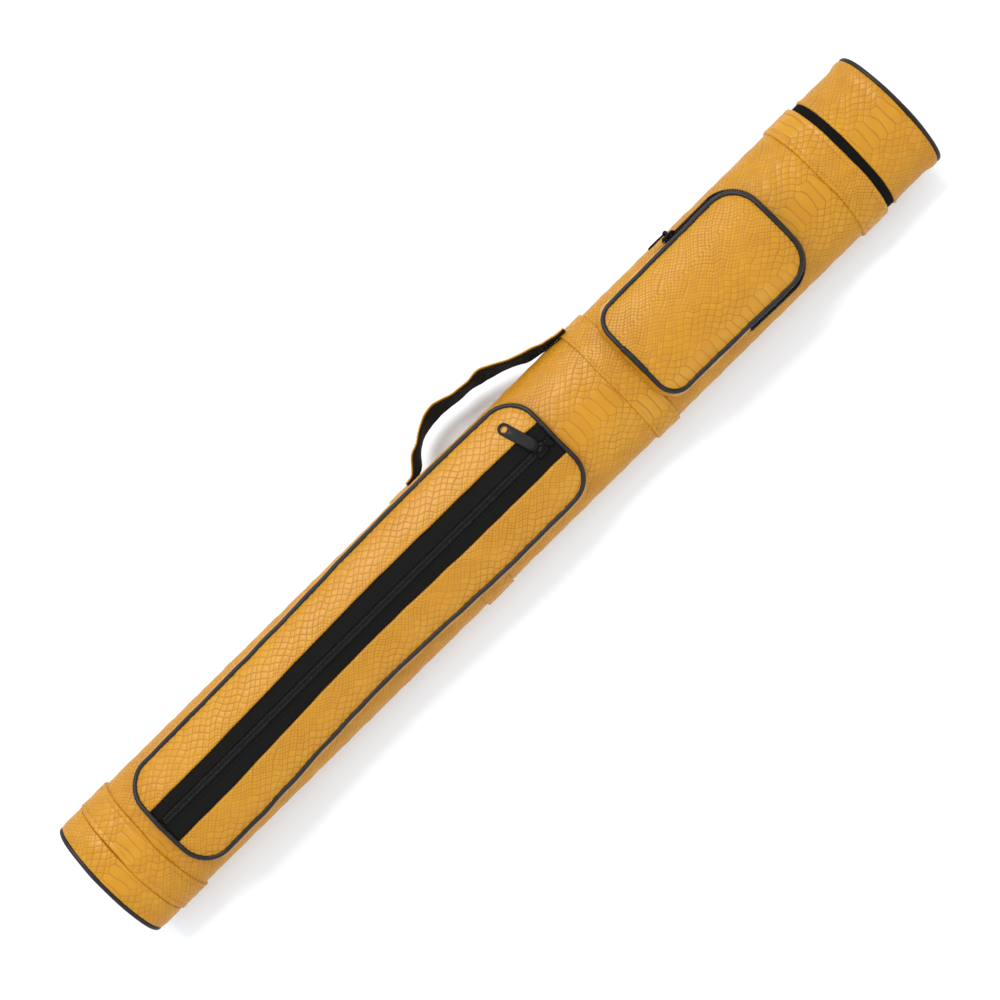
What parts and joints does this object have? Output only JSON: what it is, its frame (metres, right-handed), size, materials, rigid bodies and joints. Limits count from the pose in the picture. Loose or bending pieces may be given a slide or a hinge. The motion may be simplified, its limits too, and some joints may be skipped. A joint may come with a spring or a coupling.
{
  "type": "cue case",
  "caption": "Hard oval tube case for billiard cues with a pull-off cap, side handle and zipped pockets.",
  "frame": {"origin": "middle of the base of the whole object as it lies on its bands, pockets up", "axes": "+X from the bottom end to the cap along the tube, +Y to the handle side, +Z out of the pocket side"},
  "size_m": [0.864, 0.1441, 0.0786],
  "materials": {
    "leatherette": "glossy embossed snakeskin leatherette, mustard yellow",
    "piping": "charcoal covered cord, satin",
    "webbing": "black woven webbing",
    "zip_tape": "black woven zip tape",
    "zip_coil": "black nylon coil",
    "black_metal": "gloss black enamel",
    "shell_plastic": "hard moulded shell, matt black",
    "neck_plastic": "black, satin",
    "tube_lining": "black lined tube",
    "foam": "black foam"
  },
  "bodies": {
    "case_body": {"body_shell": "shell_plastic", "body_cover": "leatherette", "neck_sleeve": "neck_plastic", "neck_ring": "foam", "divider_plate": "neck_plastic", "butt_tube_left": "tube_lining", "butt_tube_right": "tube_lining", "shaft_tube_upper": "tube_lining", "shaft_tube_lower": "tube_lining", "tube_spacer_middle": "foam", "tube_spacer_bottom": "foam", "bottom_pad": "foam", "bottom_plate": "shell_plastic", "bottom_end_cover": "leatherette", "bottom_piping": "piping", "bottom_boot": "leatherette", "bottom_hem_band": "leatherette", "handle_lower_band": "leatherette", "handle_upper_band": "leatherette", "top_collar": "leatherette", "handle_tail_lower": "webbing", "handle_tail_upper": "webbing", "handle_root_lower": "leatherette", "handle_root_upper": "leatherette", "webbing_root_lower": "webbing", "webbing_root_upper": "webbing", "main_pocket_panel_left": "leatherette", "main_pocket_panel_right": "leatherette", "main_pocket_gusset": "leatherette", "main_pocket_piping": "piping", "main_zip_tape_left": "zip_tape", "main_zip_tape_right": "zip_tape", "main_zip_coil_left": "zip_coil", "main_zip_coil_right": "zip_coil", "main_zip_stop": "black_metal", "small_pocket_panel": "leatherette", "small_pocket_gusset": "leatherette", "small_pocket_piping": "piping", "side_zip_tape": "zip_tape", "side_zip_coil": "zip_coil"},
    "handle": {"handle_leather": "leatherette", "handle_webbing": "webbing"},
    "main_zip_slider": {"main_slider": "black_metal"},
    "main_zip_pull": {"main_pull": "black_metal"},
    "side_zip_slider": {"side_slider": "black_metal"},
    "side_zip_pull": {"side_pull": "black_metal"},
    "cap": {"cap_shell": "shell_plastic", "cap_cover": "leatherette", "cap_pad": "foam", "cap_end_plate": "shell_plastic", "cap_end_cover": "leatherette", "cap_piping": "piping"}
  },
  "joints": [
    {"name": "handle_swing", "type": "hinge", "parent": "case_body", "child": "handle", "pos_m": [-0.039, 0.04195, 0.0304], "axis": [1, 0, 0], "range_deg": [-18, 55]},
    {"name": "main_slider_slide", "type": "slide", "parent": "case_body", "child": "main_zip_slider", "axis": [-1, 0, 0], "range_m": [0, 0.38]},
    {"name": "main_pull_swing", "type": "hinge", "parent": "main_zip_slider", "child": "main_zip_pull", "pos_m": [0.0458, -0.01294, 0.0714], "axis": [1, 0, 0], "range_deg": [0, 200]},
    {"name": "side_slider_slide", "type": "slide", "parent": "case_body", "child": "side_zip_slider", "axis": [1, 0, 0], "range_m": [0, 0.032]},
    {"name": "side_pull_swing", "type": "hinge", "parent": "side_zip_slider", "child": "side_zip_pull", "pos_m": [0.232, 0.03936, 0.0531], "axis": [0, 0, -1], "range_deg": [0, 170]},
    {"name": "cap_slide", "type": "slide", "parent": "case_body", "child": "cap", "axis": [1, 0, 0], "range_m": [0, 0.15]}
  ]
}
